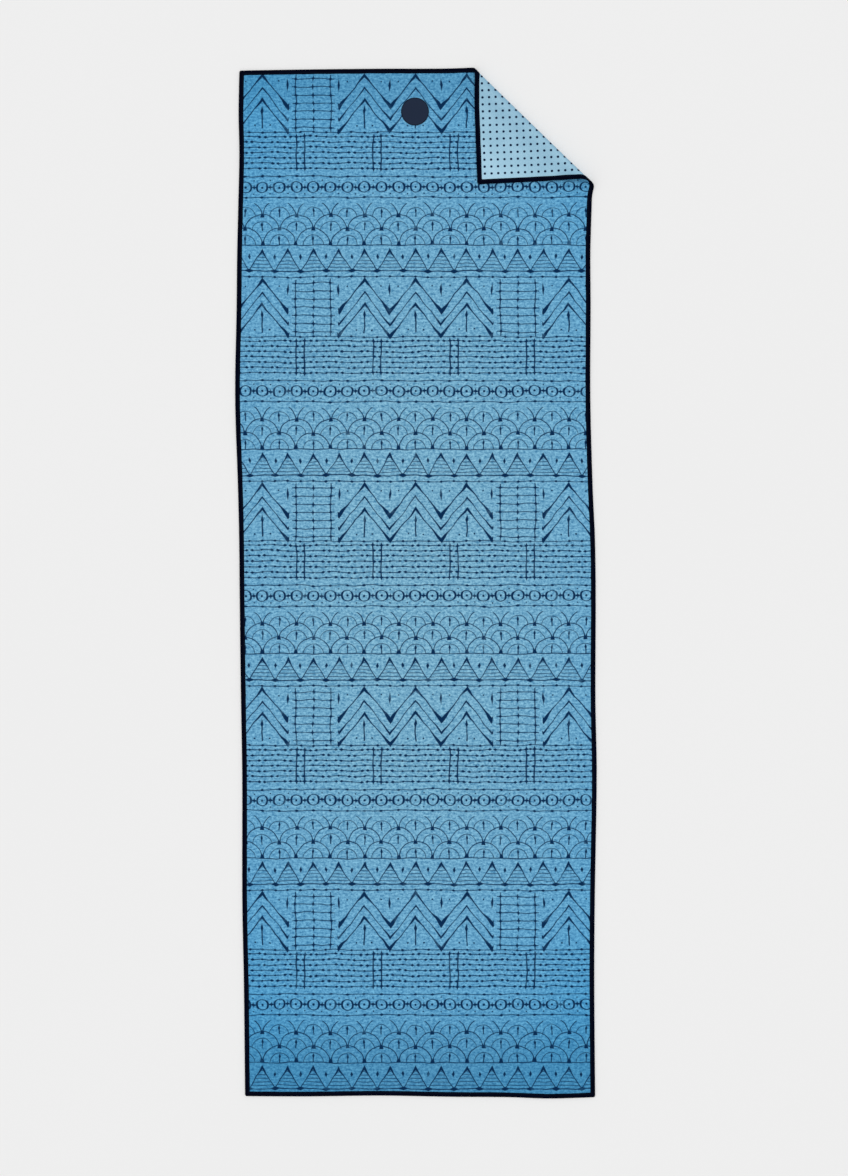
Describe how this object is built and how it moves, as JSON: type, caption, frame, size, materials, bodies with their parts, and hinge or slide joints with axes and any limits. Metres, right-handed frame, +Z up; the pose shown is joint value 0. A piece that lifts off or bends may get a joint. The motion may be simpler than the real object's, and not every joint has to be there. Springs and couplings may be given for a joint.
{
  "type": "yoga mat towel",
  "caption": "Long bound microfibre towel for an exercise mat, lying flat with one corner folded over to show its dotted grip underside.",
  "frame": {"origin": "on the surface under the towel, in the middle of its length and width", "axes": "+Z up off the surface, +Y along the towel towards the end with the folded corner and the patch, +X to the side of the folded corner"},
  "size_m": [0.6237, 1.7769, 0.0196],
  "materials": {
    "cloth": "suede-like blue microfibre with a dark blue printed design",
    "tape": "near-black woven tape, matt",
    "patch": "smooth dark blue disc, matt",
    "grip": "dark silicone grip dots, satin"
  },
  "bodies": {
    "root": {"towel": "cloth", "binding": "tape", "patch": "patch"}
  },
  "joints": []
}
